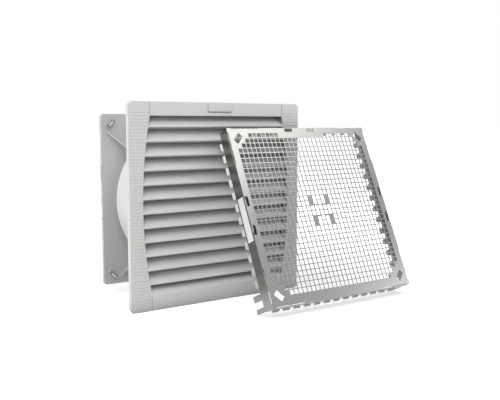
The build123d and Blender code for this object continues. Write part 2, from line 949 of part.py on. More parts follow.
def column_spans(column):
    """Row spans that stay open in one column of the front layer."""
    reach = abs(column)
    step = max(0, reach - side_columns + corner_steps)
    first = max(step, 0 if reach > top_gap_columns else 1)
    last = last_row - step
    if reach == bar_column:
        upper, lower = bar_rows
        return [(first, upper[0] - 1), (upper[1] + 1, lower[0] - 1), (lower[1] + 1, last)]
    return [(first, last)]


def mesh_front():
    """The front half of the sheet's thickness: one slot for each column of holes."""
    sheet = field_steps()
    sheet -= [
        cells(column, column, *span, trim=hole_web)
        for column in range(-side_columns, side_columns + 1)
        for span in column_spans(column)
    ]
    # Between the bars, a thicker web closes each pair of rows towards the middle.
    inward = (thick_web - hole_web) / 2
    upper = row_height(bar_rows[0][1]) - hole_pitch / 2 + inward
    lower = row_height(bar_rows[1][0]) + hole_pitch / 2 - inward
    webs = [
        Pos(column * hole_pitch, z) * Rectangle(hole_pitch, thick_web)
        for column in (1 - bar_column, bar_column - 1)
        for z in (upper, lower)
    ]
    return slab(join([sheet] + webs), 0, tray_sheet / 2)


def row_spans(row):
    """Column spans that stay open in one row of the rear layer."""
    from_end = min(row, last_row - row)
    reach = side_columns - max(0, corner_steps - from_end)
    if row == 0:
        return [(-reach, -top_gap_columns - 1), (top_gap_columns + 1, reach)]
    if any(row in pair for pair in bar_rows):
        between = [(column, column) for column in range(1 - bar_column, bar_column)]
        return [(-reach, -bar_column - 1), *between, (bar_column + 1, reach)]
    return [(-reach, reach)]


def mesh_rear():
    """The rear half of the thickness: one slot for each row of holes."""
    sheet = field_steps()
    sheet -= [
        cells(*span, row, row, trim=hole_web) for row in range(last_row + 1) for span in row_spans(row)
    ]
    sheet -= [
        cells(column, column, *pair, trim=hole_web)
        for column in (1 - bar_column, bar_column - 1)
        for pair in bar_rows
    ]
    return slab(sheet, tray_sheet / 2, tray_sheet)


def corner_slots():
    """Slots across the face's corners, for the clips on the fan's rear plate."""
    slot = Rot(0, 0, -45) * Rectangle(corner_slot_length, corner_slot_width)
    corner = Pos(corner_slot_inset - tray_half, corner_slot_inset - tray_half) * slot
    turned = [Pos(0, tray_half) * Rot(0, 0, 90 * turn) * corner for turn in range(4)]
    return [slab(outline, -1, tray_sheet + 1) for outline in turned]


def fold_slots():
    """Slots along each fold, which leave narrow bridges between face and flange."""
    return [
        block(low - tray_half, high - tray_half, -1, fold_slot_reach, -1, fold_slot_reach)
        for first, last in fold_slot_spans
        for low, high in ((first, last), (tray_size - last, tray_size - first))
    ]


def notch(centre):
    half = notch_width / 2
    return block(centre - half, centre + half, -1, tray_sheet, -1, notch_reach)


def tongue(centre):
    """The metal of a notch, folded back."""
    half = notch_width / 2 - tongue_margin
    return block(centre - half, centre + half, 0, tongue_depth, notch_reach, notch_reach + tray_sheet)


def shield_tray():
    outline = Pos(0, tray_half) * square(tray_half)
    inside = Pos(0, tray_half) * square(tray_half - tray_sheet)
    tray = slab(outline, 0, tray_flange) - slab(inside, tray_sheet, tray_flange + 1)
    tray -= slab(field_steps(), -1, tray_sheet + 1)
    tray -= corner_slots()
    for turn in range(4):
        tray -= [turned_side(slot, turn) for slot in fold_slots()]
    for turn in range(1, 4):
        for centre in (-notch_offset, notch_offset):
            tray -= turned_side(notch(centre), turn)
            tray += turned_side(tongue(centre), turn)
    for low, high in foot_spans:
        for foot in mirrored(tray_half - tray_sheet, tray_half, tray_flange - 1, foot_depth, low, high):
            tray += foot
    return tray


def finger_strip(first, last):
    """A sprung strip inside the bottom flange, whose fingers bow out past it and back."""
    line = [
        (finger_base, tray_sheet),
        (finger_bend, tray_sheet),
        (finger_peak, -finger_peak_proud),
        (finger_end, finger_end_height),
    ]
    low = first * finger_pitch - finger_width / 2
    high = last * finger_pitch + finger_width / 2
    strip = extrude(Plane.YZ.offset(low) * bent_sheet(line, finger_sheet), high - low)
    highest = tray_sheet + finger_sheet + 1
    return strip - [
        block(
            number * finger_pitch + finger_width / 2,
            (number + 1) * finger_pitch - finger_width / 2,
            finger_bend,
            finger_end + 1,
            -finger_peak_proud - 1,
            highest,
        )
        for number in range(first, last)
    ]


def contact_strips():
    """The four strips. Those at the sides leave out the finger beside the feet."""
    whole = finger_strip(-last_finger, last_finger)
    return {
        "contact_strip_bottom": whole,
        "contact_strip_top": turned_side(whole, 2),
        "contact_strip_left": turned_side(finger_strip(-last_finger, last_finger - 1), 1),
        "contact_strip_right": turned_side(finger_strip(1 - last_finger, last_finger), -1),
    }


def shield_label():
    middle = tray_half - label_drop
    half = label_height / 2
    outside = -tray_half - label_thickness
    return block(outside, -tray_half, label_front, label_back, middle - half, middle + half)


nodes = {
    "louvre_cover": louvre_cover(),
    "latch_tab": latch_tab(),
    "latch_pin": latch_pin(),
    "latch_spring": latch_spring(),
    "mounting_frame": mounting_frame(),
    "hinge_pins": hinge_pins(),
    "panel_gasket": panel_gasket(),
    "filter_mat": filter_mat(),
    "panel_clips": panel_clips(),
    "air_duct": air_duct(),
    "duct_screws": duct_screws(),
    "rear_plate": rear_plate(),
    "corner_clips": corner_clips(),
    "motor_support": motor_support(),
    "finger_guard": finger_guard(),
    "guard_screws": guard_screws(),
    "stator_base": stator_base(),
    "front_bearing": bearing(front_bearing_front),
    "rear_bearing": bearing(rear_bearing_front),
    "stator_core": stator_core(),
    "stator_windings": stator_windings(),
    "rotor_can": rotor_can(),
    "rotor_magnets": rotor_magnets(),
    "rotor_shaft": rotor_shaft(),
    "shaft_clip": shaft_clip(),
    "impeller_blades": impeller_blades(),
    "terminal_housing": terminal_housing(),
    "terminal_screws": terminal_screws(),
    "shield_tray": on_tray(shield_tray()),
    "mesh_front": on_tray(mesh_front()),
    "mesh_rear": on_tray(mesh_rear()),
    "shield_label": on_tray(shield_label()),
}
nodes.update({name: on_tray(strip) for name, strip in contact_strips().items()})

os.makedirs("parts", exist_ok=True)
for name, solid in nodes.items():
    shape = Compound(children=[piece for piece in solid]) if isinstance(solid, list) else solid
    export_step(shape, f"parts/{name}.step")
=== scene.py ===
import json
import math

import bmesh
import bpy
from mathutils import Matrix, Vector
from mathutils import noise as perlin


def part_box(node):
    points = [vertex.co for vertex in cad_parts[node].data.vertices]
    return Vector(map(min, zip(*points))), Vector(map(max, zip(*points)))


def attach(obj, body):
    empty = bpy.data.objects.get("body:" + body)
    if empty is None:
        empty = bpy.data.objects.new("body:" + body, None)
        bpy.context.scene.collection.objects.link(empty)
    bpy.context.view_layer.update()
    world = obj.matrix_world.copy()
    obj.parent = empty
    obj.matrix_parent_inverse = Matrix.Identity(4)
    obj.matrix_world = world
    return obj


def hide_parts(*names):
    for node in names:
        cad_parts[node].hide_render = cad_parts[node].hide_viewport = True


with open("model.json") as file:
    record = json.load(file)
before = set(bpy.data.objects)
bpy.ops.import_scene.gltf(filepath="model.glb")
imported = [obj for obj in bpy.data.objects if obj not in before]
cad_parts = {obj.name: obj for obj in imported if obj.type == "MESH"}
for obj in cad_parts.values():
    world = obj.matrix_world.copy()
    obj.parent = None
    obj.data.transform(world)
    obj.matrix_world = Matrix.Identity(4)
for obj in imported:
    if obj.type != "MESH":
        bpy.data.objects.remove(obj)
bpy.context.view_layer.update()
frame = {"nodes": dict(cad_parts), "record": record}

MM = 0.001
MERGE = 1e-7

# Camera, solved from the straight edges of the cover and the rear plate
CAMERA_PLACE = (-0.62534, -0.97996, 0.12580)
CAMERA_YAW = math.radians(35.143)
CAMERA_DOWN = math.radians(6.015)
CAMERA_LENS = 51.84
CAMERA_SENSOR = 36

# Painted shade in recesses: how far apart walls still darken the colour between them, and how open a
# surface is where the painted shade starts and where it is full
PAINTED_SHADE_REACH = 24 * MM
PAINTED_SHADE_START = 0.93
PAINTED_SHADE_FULL = 0.3
PAINTED_SHADE_SAMPLES = 6

# Moulded plastic: flow marks, patches of gloss and rubbed edges
FLOW_SCALE = 14
FLOW_SHADE = 0.03
GLOSS_SCALE = 60
GLOSS_SPREAD = 0.07
RUBBED_WIDTH = 0.6 * MM
RUBBED_AGREEMENT = 0.8
RUBBED_SHADE = 0.07
BEVEL_SAMPLES = 4

# Rolled steel: cloudy wear, and the depth of its lines
WEAR_SCALE = 22
WEAR_DARKER = -0.06
WEAR_LIGHTER = 0.05
LINE_DEPTH = 0.1 * MM
LINE_STRENGTH = 0.5

# Lacquer: patches of shade and gloss under an orange peel
PATCH_SCALE = 30
PATCH_SHADE = 0.15
PATCH_GLOSSIER = 0.05
PATCH_DULLER = 0.08
PEEL_STRENGTH = 0.6

# Fleece: threads in two directions over broad tufts
THREAD_SCALE = 260
THREAD_STRETCH = (6, 1, 0.6)
THREAD_TURNS = (math.radians(35), math.radians(-50))
THREAD_DEPTH = 1.1 * MM
THREAD_DARKER = -0.45
THREAD_LIGHTER = 0.2
TUFT_SHADE_SCALE = 45
TUFT_SHADES = (0.75, 1.1)
FLEECE_SHEEN = 0.25

# Foam rubber: pores
PORE_SCALE = 1300.0
PORE_DEPTH = 0.2 * MM
PORE_DARKER = -0.5
PORE_LIGHTER = 0.6

# The white studio: the floor, its glow from near to far, and the world's light
FLOOR_Z = -160 * MM
FLOOR_SIZE = 40
FLOOR_MIDDLE = (0.07, -0.03)
FLOOR_GREY = 0.8
FLOOR_GLOW_NEAR = 0.5
FLOOR_GLOW_FAR = 1.0
GLOW_START = 0.22
GLOW_END = 0.75
WORLD_LIGHT = 0.2

# Lamps: place, target, width and power
LAMPS = {
    "left_lamp": ((-1.9, 0.45, 1.3), (0, 0.05, 0), 1.8, 36.0),
    "key_lamp": ((-1.3, -1.5, 1.6), (0, 0, 0), 1.6, 20.0),
    "top_lamp": ((-0.2, -0.8, 2.0), (0, 0, 0), 1.8, 16.0),
    "right_high_lamp": ((1.05, -1.05, 1.72), (0.1, -0.1, 0), 1.2, 12.5),
    "right_low_lamp": ((1.88, -1.29, 0.25), (0.1, -0.1, 0), 0.8, 6.0),
}

# The shield tray in its own frame: X across, Y back through the sheet, Z up the face
TRAY_LEAN = math.radians(25.1)
TRAY_SIZE = 289 * MM
SHEET = 0.8 * MM
HOLE_PITCH = 8.54 * MM
HOLE_WEB = 1.4 * MM
THICK_WEB = 2.8 * MM
FACE_SMOOTH = 20
FIELD_CENTRE = 148 * MM
SIDE_COLUMNS = 15
LAST_ROW = 30
CORNER_STEPS = 3
TOP_GAP_COLUMNS = 5
BAR_COLUMN = 2
BAR_ROWS = ((13, 14), (17, 18))

# Contact fingers along the tray's flanges
FINGER_PITCH = 20.3 * MM
FINGER_WIDTH = 12.5 * MM
FINGER_SHEET = 0.4 * MM
FINGER_BASE = 14 * MM
FINGER_BEND = 21.6 * MM
FINGER_PEAK = 26.8 * MM
FINGER_PROUD = 2.2 * MM
FINGER_END = 32 * MM
FINGER_TAPER = 3.2 * MM
LAST_FINGER = 6

# Ribs on the cover's side bands, between the outer edge and the bowed field of blades
RIB_PITCH = 5 * MM
RIB_GAP = 1.0 * MM
RIB_PROUD = 0.25 * MM
RIB_ROUND = RIB_PROUD * 0.8
RIB_OUTER_INSET = 1.8 * MM
RIB_END_INSET = 11 * MM
FIELD_MARGIN = 2.6 * MM
FIELD_TOP = 138.7 * MM
FIELD_BOTTOM = -135.1 * MM
FIELD_CORNER_HALF = 124.3 * MM
FIELD_BOW_HALF = 137.5 * MM

# Air duct and rotor, about the shaft
DUCT_WALL = 2.2 * MM
DRUM_BACK = 112 * MM
DRUM_ROUND = 7 * MM
RIM_ROUND = 0.4 * MM
NECK_ROUND_OUTSIDE = 2 * MM
NECK_ROUND_INSIDE = 3 * MM
DUCT_STEPS = 160
EAR_HALF = 5 * MM
EAR_THICKNESS = 2.5 * MM
EAR_ROUND = 0.5 * MM
EAR_COUNT = 4
EAR_TURN = math.pi / 4
FRONT_EAR_REACH = 9 * MM
BACK_EAR_REACH = 12 * MM
NECK_RADIUS = 112 * MM
CAN_WALL = 2.5 * MM
CAN_ROUND = 5 * MM
CAN_RIM_ROUND = 0.8 * MM
CAN_STEPS = 96
VANE_COUNT = 5
VANE_MIDDLE = 109 * MM
VANE_ANGLE = math.radians(28)
VANE_ROOT_HALF = 23 * MM
VANE_TIP_LOW = -29 * MM
VANE_TIP_HIGH = 37 * MM
VANE_BOW = 7 * MM
VANE_THICKNESS = 2.4 * MM
VANE_SPANS = 14
VANE_CHORDS = 22

# Guard rings and screws
GUARD_WIRE = 1.1 * MM
GUARD_COUNT = 4
GUARD_DISC = 47 * MM
GUARD_SIDES = 12
GUARD_STEPS = 120
SCREW_HEAD_HEIGHT = 1.8 * MM
DUCT_SCREW_PLACE = 132.2 * MM
DUCT_SCREW_HEAD = 2.8 * MM
GUARD_SCREW_PLACE = 118 * MM
GUARD_SCREW_HEAD = 3.6 * MM
TERMINAL_SCREW_HEAD = 2.6 * MM
TERMINAL_PITCH = 10 * MM

# A screw head's outline as shares of its radius and height, and its cross recess
HEAD_OUTLINE = ((1.0, 0.0), (1.0, 0.45), (0.93, 0.78), (0.8, 0.95), (0.68, 1.0))
HEAD_SIDES = 32
RECESS_REACH = 0.55
RECESS_HALF = 0.12
RECESS_DEPTH = 0.6
RECESS_TAPER = 0.8

# The latch's torsion spring
SPRING_WIRE = 0.2 * MM
SPRING_TURNS = 14
SPRING_STEPS = 16
SPRING_SIDES = 6

# Filter mat: tufts with finer fibres, pressed thin towards the edges
MAT_CELLS = 110
MAT_FOLD = 0.04
MAT_PRESSED = 0.8
TUFT_SCALE = 55
TUFT_HEIGHT = 0.7 * MM
FIBRE_SCALE = 260
FIBRE_HEIGHT = 0.5 * MM
TUFT_SHIFT = 9
FIBRE_SHIFT = 5

# Foam gasket, open at the top for the latch
GASKET_WIDTH = 5 * MM
GASKET_GAP = 6 * MM
GASKET_ROUNDING = 0.3
GASKET_STATIONS = 36
GASKET_SWELL = 0.12 * MM
GASKET_SWELL_SCALE = 90


# Materials


def link(material, out, into):
    """Joins an output socket to an input."""
    material.node_tree.links.new(out, into)


def node(material, kind, **values):
    """A new shader node, its properties and inputs set by name."""
    made = material.node_tree.nodes.new(kind)
    for key, value in values.items():
        if hasattr(made, key):
            setattr(made, key, value)
        else:
            made.inputs[key].default_value = value
    return made


def base_material(name, colour, roughness, metallic=0.0, specular=0.5):
    """A new material and its shader, with what is the same all over set on the shader."""
    material = bpy.data.materials.new(name)
    material.use_nodes = True
    shader = material.node_tree.nodes["Principled BSDF"]
    shader.inputs["Base Color"].default_value = (*colour, 1)
    shader.inputs["Roughness"].default_value = roughness
    shader.inputs["Metallic"].default_value = metallic
    shader.inputs["Specular IOR Level"].default_value = specular
    return material, shader


def shades(material, factor, low, high):
    """A colour ramp between two colours."""
    ramp = node(material, "ShaderNodeValToRGB")
    ramp.color_ramp.elements[0].color = (*low, 1)
    ramp.color_ramp.elements[1].color = (*high, 1)
    link(material, factor, ramp.inputs["Fac"])
    return ramp.outputs["Color"]


def levels(material, factor, low, high):
    """Maps 0 to 1 onto low to high."""
    spread = node(material, "ShaderNodeMapRange")
    spread.inputs["To Min"].default_value = low
    spread.inputs["To Max"].default_value = high
    link(material, factor, spread.inputs["Value"])
    return spread.outputs["Result"]


def cloud(material, scale, detail, stretch=(1, 1, 1), turn=(0, 0, 0)):
    """Noise fixed to the object, its scale in cycles to the metre."""
    place = node(material, "ShaderNodeTexCoord")
    mapping = node(material, "ShaderNodeMapping", Scale=stretch, Rotation=turn)
    link(material, place.outputs["Object"], mapping.inputs["Vector"])
    texture = node(material, "ShaderNodeTexNoise", Scale=scale, Detail=detail)
    link(material, mapping.outputs["Vector"], texture.inputs["Vector"])
    return texture.outputs["Fac"]


def tint(colour, change):
    """A colour made lighter or darker by a share."""
    return tuple(min(1.0, channel * (1 + change)) for channel in colour)


def worn_edges(material, radius):
    """High along edges: how far a softened normal leaves the true one."""
    geometry = node(material, "ShaderNodeNewGeometry")
    soft = node(material, "ShaderNodeBevel", samples=BEVEL_SAMPLES, Radius=radius)
    agree = node(material, "ShaderNodeVectorMath", operation="DOT_PRODUCT")
    link(material, geometry.outputs["Normal"], agree.inputs[0])
    link(material, soft.outputs["Normal"], agree.inputs[1])
    spread = node(material, "ShaderNodeMapRange")
    spread.inputs["From Min"].default_value = 1.0
    spread.inputs["From Max"].default_value = RUBBED_AGREEMENT
    link(material, agree.outputs["Value"], spread.inputs["Value"])
    return spread.outputs["Result"]


def mixed(material, factor, first, second):
    """Mixes two colours by a factor; the second is a fixed colour."""
    mix = node(material, "ShaderNodeMix", data_type="RGBA")
    link(material, factor, mix.inputs["Factor"])
    link(material, first, mix.inputs["A"])
    mix.inputs["B"].default_value = (*second, 1)
    return mix.outputs["Result"]


def bumped(material, shader, height, distance, strength=1.0, bevel=0.0):
    """Bumps a surface by a height, over edges that a bevel softens."""
    bump = node(material, "ShaderNodeBump", Strength=strength, Distance=distance)
    link(material, height, bump.inputs["Height"])
    if bevel:
        soft = node(material, "ShaderNodeBevel", samples=BEVEL_SAMPLES, Radius=bevel)
        link(material, soft.outputs["Normal"], bump.inputs["Normal"])
    link(material, bump.outputs["Normal"], shader.inputs["Normal"])


def painted_shade_mask(material):
    """Rises from 0 in the open to 1 where near walls close a surface in: the mask for painted shade."""
    hidden = node(
        material, "ShaderNodeAmbientOcclusion", samples=PAINTED_SHADE_SAMPLES, Distance=PAINTED_SHADE_REACH
    )
    spread = node(material, "ShaderNodeMapRange")
    spread.inputs["From Min"].default_value = PAINTED_SHADE_START
    spread.inputs["From Max"].default_value = PAINTED_SHADE_FULL
    link(material, hidden.outputs["AO"], spread.inputs["Value"])
    return spread.outputs["Result"]


def moulded_plastic(name, colour, roughness=0.42, grain=2200, depth=0.012 * MM, bevel=0.45 * MM, painted_shade=0.0):
    """Moulded plastic: a fine spark-eroded grain, flow marks, edges rubbed lighter, painted shade in
    recesses.
    """
    material, shader = base_material(name, colour, roughness)
    flow = cloud(material, FLOW_SCALE, detail=3)
    shade = shades(material, flow, tint(colour, -FLOW_SHADE), tint(colour, FLOW_SHADE))
    # Painted shade: the colour darkens where an ambient-occlusion test finds near walls
    if painted_shade:
        shade = mixed(material, painted_shade_mask(material), shade, tint(colour, -painted_shade))
    rubbed = mixed(material, worn_edges(material, RUBBED_WIDTH), shade, tint(colour, RUBBED_SHADE))
    link(material, rubbed, shader.inputs["Base Color"])
    gloss = cloud(material, GLOSS_SCALE, detail=4)
    patches = levels(material, gloss, roughness - GLOSS_SPREAD, roughness + GLOSS_SPREAD)
    link(material, patches, shader.inputs["Roughness"])
    bumped(material, shader, cloud(material, grain, detail=2), depth, 1.0, bevel)
    return material


def rolled_steel(name, colour, roughness, stretch=(1, 1, 40), scale=90, bevel=0.2 * MM, spread=0.09):
    """Rolled sheet: fine lines along the rolling direction and faint cloudy wear."""
    material, shader = base_material(name, colour, roughness, 1.0)
    lines = cloud(material, scale, detail=4, stretch=stretch)
    wear = cloud(material, WEAR_SCALE, detail=4)
    wear = shades(material, wear, tint(colour, WEAR_DARKER), tint(colour, WEAR_LIGHTER))
    link(material, wear, shader.inputs["Base Color"])
    worn = levels(material, lines, roughness - spread, roughness + spread)
    link(material, worn, shader.inputs["Roughness"])
    bumped(material, shader, lines, LINE_DEPTH * spread, LINE_STRENGTH, bevel)
    return material


def lacquered(name, colour, roughness, metallic=0.0, grain=900, depth=0.03 * MM, bevel=0.3 * MM):
    """Powder coat or lacquer with an orange-peel surface."""
    material, shader = base_material(name, colour, roughness, metallic)
    patches = cloud(material, PATCH_SCALE, detail=3)
    shade = shades(material, patches, tint(colour, -PATCH_SHADE), tint(colour, PATCH_SHADE))
    link(material, shade, shader.inputs["Base Color"])
    gloss = levels(material, patches, roughness - PATCH_GLOSSIER, roughness + PATCH_DULLER)
    link(material, gloss, shader.inputs["Roughness"])
    bumped(material, shader, cloud(material, grain, detail=3), depth, PEEL_STRENGTH, bevel)
    return material


def fleece(name, colour):
    """Bonded fibres: two crossed sets of stretched noise over broad tufts."""
    material, shader = base_material(name, colour, 0.95, specular=0.15)
    shader.inputs["Sheen Weight"].default_value = FLEECE_SHEEN
    along, across = [
        cloud(material, THREAD_SCALE, detail=5, stretch=THREAD_STRETCH, turn=(0, turn, 0))
        for turn in THREAD_TURNS
    ]
    fibres = node(material, "ShaderNodeMath", operation="MAXIMUM")
    link(material, along, fibres.inputs[0])
    link(material, across, fibres.inputs[1])
    tufts = node(material, "ShaderNodeMath", operation="MULTIPLY")
    link(material, fibres.outputs[0], tufts.inputs[0])
    broad = levels(material, cloud(material, TUFT_SHADE_SCALE, detail=3), *TUFT_SHADES)
    link(material, broad, tufts.inputs[1])
    low, high = tint(colour, THREAD_DARKER), tint(colour, THREAD_LIGHTER)
    shade = shades(material, tufts.outputs[0], low, high)
    link(material, shade, shader.inputs["Base Color"])
    bumped(material, shader, tufts.outputs[0], THREAD_DEPTH)
    return material


def foam(name, colour):
    """Closed-cell foam rubber: small pores in a matt black skin."""
    material, shader = base_material(name, colour, 0.9, specular=0.3)
    place = node(material, "ShaderNodeTexCoord")
    cells = node(material, "ShaderNodeTexVoronoi", Scale=PORE_SCALE)
    link(material, place.outputs["Object"], cells.inputs["Vector"])
    low, high = tint(colour, PORE_DARKER), tint(colour, PORE_LIGHTER)
    shade = shades(material, cells.outputs["Distance"], low, high)
    link(material, shade, shader.inputs["Base Color"])
    bumped(material, shader, cells.outputs["Distance"], PORE_DEPTH)
    return material


COVER_GREY = (0.605, 0.616, 0.597)
HOUSING_GREY = (0.5, 0.508, 0.495)
DUCT_GREY = (0.63, 0.64, 0.625)
TRAY_STEEL = (0.28, 0.28, 0.273)
BRIGHT_STEEL = (0.56, 0.565, 0.57)

# The cover's colour gets painted shade in its recesses, darkening the blades under each lip
cover_plastic = moulded_plastic("cover_plastic", COVER_GREY, painted_shade=0.6)
housing_plastic = moulded_plastic("housing_plastic", HOUSING_GREY, roughness=0.46)
duct_plastic = moulded_plastic("duct_plastic", DUCT_GREY, roughness=0.46)
clip_metal = rolled_steel("clip_metal", (0.5, 0.505, 0.5), 0.2, stretch=(1, 1, 1), scale=300)
gasket_foam = foam("gasket_foam", (0.03, 0.03, 0.032))
mat_fibre = fleece("mat_fibre", (0.72, 0.73, 0.71))
spring_steel = rolled_steel("spring_steel", BRIGHT_STEEL, 0.2)
finger_steel = rolled_steel("finger_steel", (0.34, 0.34, 0.333), 0.3, stretch=(1, 1, 30), scale=120)
screw_steel = rolled_steel("screw_steel", BRIGHT_STEEL, 0.3, stretch=(1, 1, 1), scale=600)
support_coat = lacquered("support_coat", (0.022, 0.022, 0.024), 0.42)
cast_aluminium = lacquered(
    "cast_aluminium", (0.5, 0.51, 0.52), 0.5, metallic=1.0, grain=1200, depth=0.05 * MM
)
bearing_steel = rolled_steel("bearing_steel", BRIGHT_STEEL, 0.18, stretch=(1, 12, 1), scale=200)
core_steel = rolled_steel("core_steel", (0.3, 0.31, 0.32), 0.42, stretch=(1, 60, 1), scale=60)
winding_copper = rolled_steel("winding_copper", (0.62, 0.26, 0.12), 0.35, stretch=(1, 40, 1), scale=80)
rotor_black = lacquered("rotor_black", (0.018, 0.018, 0.02), 0.38)
magnet_ferrite = lacquered("magnet_ferrite", (0.06, 0.06, 0.065), 0.6)
terminal_black = moulded_plastic("terminal_plastic", (0.02, 0.02, 0.022))
shield_steel = rolled_steel("shield_steel", TRAY_STEEL, 0.25, stretch=(1, 1, 30), scale=70, spread=0.03)
label_film = moulded_plastic(
    "label_film", (0.76, 0.77, 0.77), roughness=0.3, grain=900, depth=0.006 * MM, bevel=0.1 * MM
)

SLOT_MATERIALS = {
    "cover_plastic": cover_plastic,
    "housing_plastic": housing_plastic,
    "clip_plastic": clip_metal,
    "gasket_foam": gasket_foam,
    "mat_fibre": mat_fibre,
    "spring_steel": spring_steel,
    "screw_steel": screw_steel,
    "support_steel": support_coat,
    "motor_aluminium": cast_aluminium,
    "bearing_steel": bearing_steel,
    "core_steel": core_steel,
    "winding_copper": winding_copper,
    "rotor_black": rotor_black,
    "magnet_ferrite": magnet_ferrite,
    "terminal_plastic": terminal_black,
    "shield_steel": shield_steel,
    "label_film": label_film,
}


def dress_nodes():
    """Gives every CAD node the material of its slot."""
    for part in frame["record"]["subparts"]:
        mesh = frame["nodes"][part["node"]].data
        mesh.materials.clear()
        mesh.materials.append(SLOT_MATERIALS[part["material_slot"]])


dress_nodes()


# Building pieces


def piece(name, mesh_builder, material, body, stands_for=(), smooth=40):
    """Makes an object from a bmesh, smooth up to an angle in degrees, and lets it ride on a body."""
    bmesh.ops.recalc_face_normals(mesh_builder, faces=mesh_builder.faces)
    mesh = bpy.data.meshes.new(name)
    mesh_builder.to_mesh(mesh)
    mesh_builder.free()
    made = bpy.data.objects.new(name, mesh)
    bpy.context.scene.collection.objects.link(made)
    mesh.materials.append(material)
    mesh.shade_smooth()
    mesh.set_sharp_from_angle(angle=math.radians(smooth))
    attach(made, body)
    if stands_for:
        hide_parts(*stands_for)
    return made


def add_box(mesh, low, high, bevel):
    """A box between two corners, with rounded edges. Gives back its verts."""
    low, high = Vector(low), Vector(high)
    place = Matrix.Translation((low + high) / 2) @ Matrix.Diagonal((*(high - low), 1))
    made = bmesh.ops.create_cube(mesh, size=1.0, matrix=place)
    edges = list({edge for vert in made["verts"] for edge in vert.link_edges})
    rounded = bmesh.ops.bevel(mesh, geom=edges, offset=bevel, segments=2, profile=0.5, affect="EDGES")
    return list({vert for face in rounded["faces"] for vert in face.verts})


def eased(corners, radii, steps=6):
    """A closed outline whose corners are rounded, each by its own radius."""
    outline = []
    count = len(corners)
    for number, (corner, radius) in enumerate(zip(corners, radii)):
        here = Vector(corner)
        if not radius:
            outline.append(here)
            continue
        before = here + (Vector(corners[number - 1]) - here).normalized() * radius
        after = here + (Vector(corners[(number + 1) % count]) - here).normalized() * radius
        for step in range(steps + 1):
            t = step / steps
            outline.append(before * (1 - t) ** 2 + here * 2 * t * (1 - t) + after * t**2)
    return outline


def walls(mesh, rows, closed=False):
    """Faces between neighbouring rows of verts, which may be closed rings."""
    for here, there in zip(rows, rows[1:]):
        for k in range(0 if closed else 1, len(here)):
            mesh.faces.new((here[k - 1], here[k], there[k], there[k - 1]))


def skin(mesh, rings):
    """Walls between rings of verts, and a cap on the first and the last."""
    walls(mesh, rings, closed=True)
    mesh.faces.new(rings[0])
    mesh.faces.new(rings[-1])


def lathe(mesh, profile, steps):
    """Turns a closed (radius, y) outline about the shaft. A radius of 0 lies on the shaft."""
    rings = []
    for step in range(steps):
        angle = 2 * math.pi * step / steps
        rings.append([mesh.verts.new((r * math.cos(angle), y, r * math.sin(angle))) for r, y in profile])
    for here, there in zip(rings, rings[1:] + rings[:1]):
        for k in range(len(profile)):
            corners = (here[k - 1], here[k], there[k], there[k - 1])
            if profile[k - 1][0] > 0 or profile[k][0] > 0:
                mesh.faces.new(corners)
    bmesh.ops.remove_doubles(mesh, verts=mesh.verts, dist=MERGE)


def tube_along(mesh, points, radius, sides):
    """A round wire along a line of points."""
    rings = []
    across = Vector((0, 0, 1))
    for number, point in enumerate(points):
        ahead = points[min(number + 1, len(points) - 1)]
        behind = points[max(number - 1, 0)]
        way = (ahead - behind).normalized()
        across = (across - way * across.dot(way)).normalized()
        other = way.cross(across)
        rings.append(
            [
                mesh.verts.new(
                    point
                    + across * radius * math.cos(2 * math.pi * k / sides)
                    + other * radius * math.sin(2 * math.pi * k / sides)
                )
                for k in range(sides)
            ]
        )
    skin(mesh, rings)


def turned_copies(mesh, count):
    """Adds copies of all that a mesh holds, evenly turned about the shaft."""
    own, faces = mesh.verts[:], mesh.faces[:]
    copies = [bmesh.ops.duplicate(mesh, geom=own + faces)["geom"] for _ in range(count - 1)]
    groups = [own] + [[item for item in geom if isinstance(item, bmesh.types.BMVert)] for geom in copies]
    for number, group in enumerate(groups):
        turn = Matrix.Rotation(2 * math.pi * number / count, 4, "Y")
        bmesh.ops.transform(mesh, matrix=turn, verts=group)


# The louvre cover's ribbed bands


def field_half(z):
    """Half the width of the blades' field, whose sides are arcs."""
    middle = (FIELD_TOP + FIELD_BOTTOM) / 2
    half_chord = (FIELD_TOP - FIELD_BOTTOM) / 2
    rise = FIELD_BOW_HALF - FIELD_CORNER_HALF
    radius = (half_chord**2 + rise**2) / (2 * rise)
    along = max(-half_chord, min(half_chord, z - middle))
    return FIELD_BOW_HALF - radius + math.sqrt(radius**2 - along**2)


def band_ribs():
    """Low pads down both side bands, whose gaps read as fine grooves."""
    low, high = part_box("louvre_cover")
    ribs = bmesh.new()
    count = int((high.z - low.z - 2 * RIB_END_INSET) / RIB_PITCH)
    start = (low.z + high.z) / 2 - count * RIB_PITCH / 2
    for number in range(count):
        bottom = start + number * RIB_PITCH + RIB_GAP / 2
        top = bottom + RIB_PITCH - RIB_GAP
        inner = field_half((bottom + top) / 2) + FIELD_MARGIN
        for side in (-1, 1):
            ends = sorted((side * (high.x - RIB_OUTER_INSET), side * inner))
            add_box(
                ribs,
                (ends[0], low.y - RIB_PROUD, bottom),
                (ends[1], low.y + RIB_PROUD, top),
                RIB_ROUND,
            )
    return piece("band_ribs", ribs, cover_plastic, "cover")


band_ribs()


# The shield tray: punched face and contact fingers


def tray_place():
    """From the tray's own frame to the part's, read from where the face's front layer lies."""
    low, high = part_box("mesh_front")
    bottom = FIELD_CENTRE - (SIDE_COLUMNS + 0.5) * HOLE_PITCH
    x = (low.x + high.x) / 2
    y = low.y - bottom * math.sin(TRAY_LEAN)
    z = low.z + SHEET / 2 * math.sin(TRAY_LEAN) - bottom * math.cos(TRAY_LEAN)
    return Matrix.Translation((x, y, z)) @ Matrix.Rotation(-TRAY_LEAN, 4, "X")


def row_reach(row):
    """The furthest column with a hole in a row, less at the stepped corners."""
    return SIDE_COLUMNS - max(0, CORNER_STEPS - min(row, LAST_ROW - row))


